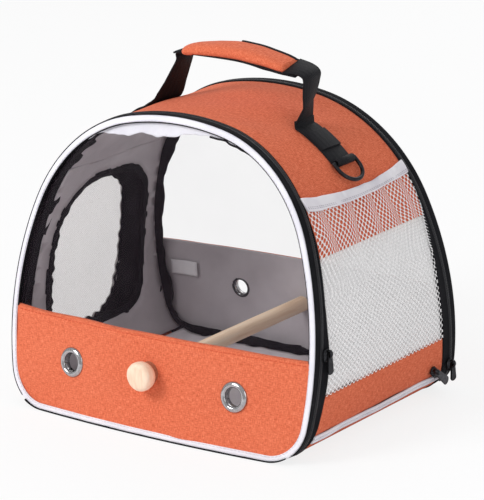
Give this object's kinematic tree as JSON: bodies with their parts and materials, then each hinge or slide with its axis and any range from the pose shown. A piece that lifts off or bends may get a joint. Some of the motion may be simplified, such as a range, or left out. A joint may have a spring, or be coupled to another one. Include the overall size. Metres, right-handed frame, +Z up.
{
  "type": "bird travel carrier",
  "caption": "Domed soft-sided carrier for a small bird, with clear doors front and rear, a mesh side door, a netted pocket, a carrying loop and a screwed-in wooden perch.",
  "frame": {"origin": "middle of the underside of the base", "axes": "+X to the right seen from the front, -Y the front with the perch knob, +Z up"},
  "size_m": [0.312, 0.2398, 0.2881],
  "materials": {
    "shell_fabric": "woven, heathered, matt",
    "board": "matt",
    "foam": "matt",
    "lining_fabric": "woven, matt",
    "pale_fabric": "woven, matt",
    "label_fabric": "woven, matt",
    "net": "open knitted net",
    "zip_tape": "woven, matt",
    "zip_coil": "satin",
    "webbing": "ribbed webbing",
    "dark_metal": "dark plated, satin",
    "clear_sheet": "clear, gloss",
    "eyelet_metal": "bright plated",
    "wood": "pale, bare",
    "brass": "satin",
    "washer_rubber": "matt"
  },
  "bodies": {
    "case": {"base_cover": "shell_fabric", "base_board": "board", "floor_mat": "lining_fabric", "side_cords": "pale_fabric", "side_stiffener": "board", "lining": "lining_fabric", "top_cover": "shell_fabric", "left_panel": "shell_fabric", "right_strip": "shell_fabric", "right_mesh": "net", "pocket_net": "net", "pocket_hem": "pale_fabric", "front_hoop": "board", "rear_hoop": "board", "front_zip_tape": "zip_tape", "rear_zip_tape": "zip_tape", "front_zip_coil": "zip_coil", "rear_zip_coil": "zip_coil", "front_inner_tape": "zip_tape", "rear_inner_tape": "zip_tape", "front_hinge_tape": "zip_tape", "rear_hinge_tape": "zip_tape", "side_opening_tape": "zip_tape", "handle_anchors": "webbing", "zip_sliders": "dark_metal"},
    "front_door": {"front_window": "clear_sheet", "front_band": "shell_fabric", "front_band_core": "board", "front_band_lining": "lining_fabric", "front_binding": "pale_fabric", "front_door_tape": "zip_tape", "front_door_coil": "zip_coil", "front_eyelets": "eyelet_metal", "perch": "wood", "perch_inserts": "brass"},
    "rear_door": {"rear_window": "clear_sheet", "rear_band": "shell_fabric", "rear_band_core": "board", "rear_band_lining": "lining_fabric", "rear_binding": "pale_fabric", "rear_door_tape": "zip_tape", "rear_door_coil": "zip_coil", "rear_eyelets": "eyelet_metal", "blank_label": "label_fabric"},
    "side_door": {"side_frame": "zip_tape", "side_mesh": "net"},
    "left_leg": {"left_leg": "webbing"},
    "grip": {"grip_sleeve": "shell_fabric", "grip_core": "foam", "carry_webbing": "webbing"},
    "right_leg": {"right_leg": "webbing"},
    "left_ring": {"left_ring": "dark_metal"},
    "right_ring": {"right_ring": "dark_metal"},
    "front_washer": {"front_knob_washer": "washer_rubber"},
    "front_knob": {"front_knob": "wood"},
    "rear_washer": {"rear_knob_washer": "washer_rubber"},
    "rear_knob": {"rear_knob": "wood"},
    "front_pull": {"front_pull": "dark_metal"},
    "rear_pull": {"rear_pull": "dark_metal"},
    "low_pull": {"low_pull": "dark_metal"}
  },
  "joints": [
    {"name": "front_door_open", "type": "hinge", "parent": "case", "child": "front_door", "pos_m": [0, -0.11, 0.001], "axis": [1, 0, 0], "range_deg": [0, 65]},
    {"name": "rear_door_open", "type": "hinge", "parent": "case", "child": "rear_door", "pos_m": [0, 0.11, 0.001], "axis": [-1, 0, 0], "range_deg": [0, 65]},
    {"name": "side_door_open", "type": "hinge", "parent": "case", "child": "side_door", "pos_m": [-0.153, 0.0724, 0], "axis": [0, 0, 1], "range_deg": [-100, 0]},
    {"name": "handle_lean", "type": "hinge", "parent": "case", "child": "left_leg", "pos_m": [-0.066, 0.013, 0.23725], "axis": [0, 1, 0], "range_deg": [-50, 30]},
    {"name": "left_knee", "type": "hinge", "parent": "left_leg", "child": "grip", "pos_m": [-0.052, 0.013, 0.28025], "axis": [0, 1, 0], "range_deg": [-30, 50]},
    {"name": "right_knee", "type": "hinge", "parent": "grip", "child": "right_leg", "pos_m": [0.089, 0.013, 0.2764], "axis": [0, 1, 0], "range_deg": [-50, 30]},
    {"name": "left_ring_swing", "type": "hinge", "parent": "case", "child": "left_ring", "pos_m": [-0.11258, 0.013, 0.20793], "axis": [0, 1, 0], "range_deg": [0, 120]},
    {"name": "right_ring_swing", "type": "hinge", "parent": "case", "child": "right_ring", "pos_m": [0.11258, 0.013, 0.20793], "axis": [0, -1, 0], "range_deg": [0, 120]},
    {"name": "front_knob_out", "type": "slide", "parent": "front_door", "child": "front_washer", "axis": [0, -1, 0], "range_m": [0, 0.00601]},
    {"name": "front_knob_turn", "type": "hinge", "parent": "front_washer", "child": "front_knob", "pos_m": [0, -0.11, 0.0505], "axis": [0, -1, 0], "range_deg": [0, 1080]},
    {"name": "rear_knob_out", "type": "slide", "parent": "rear_door", "child": "rear_washer", "axis": [0, 1, 0], "range_m": [0, 0.00601]},
    {"name": "rear_knob_turn", "type": "hinge", "parent": "rear_washer", "child": "rear_knob", "pos_m": [0, 0.112, 0.0505], "axis": [0, 1, 0], "range_deg": [0, 1080]},
    {"name": "front_pull_swing", "type": "hinge", "parent": "case", "child": "front_pull", "pos_m": [0.1571, -0.07504, 0.0854], "axis": [0, -1, 0], "range_deg": [0, 150]},
    {"name": "rear_pull_swing", "type": "hinge", "parent": "case", "child": "rear_pull", "pos_m": [0.15423, 0.09098, 0.0274], "axis": [0, -1, 0], "range_deg": [0, 150]},
    {"name": "low_pull_swing", "type": "hinge", "parent": "case", "child": "low_pull", "pos_m": [0.15369, 0.06816, 0.02654], "axis": [0, -0.6428, -0.766], "range_deg": [0, 150]}
  ],
  "couplings": [
    {"joint": "left_knee", "follows": "handle_lean", "ratio": -1},
    {"joint": "right_knee", "follows": "handle_lean", "ratio": 1},
    {"joint": "front_knob_out", "follows": "front_knob_turn", "m_per_rad": 0.00031831},
    {"joint": "rear_knob_out", "follows": "rear_knob_turn", "m_per_rad": 0.00031831}
  ]
}
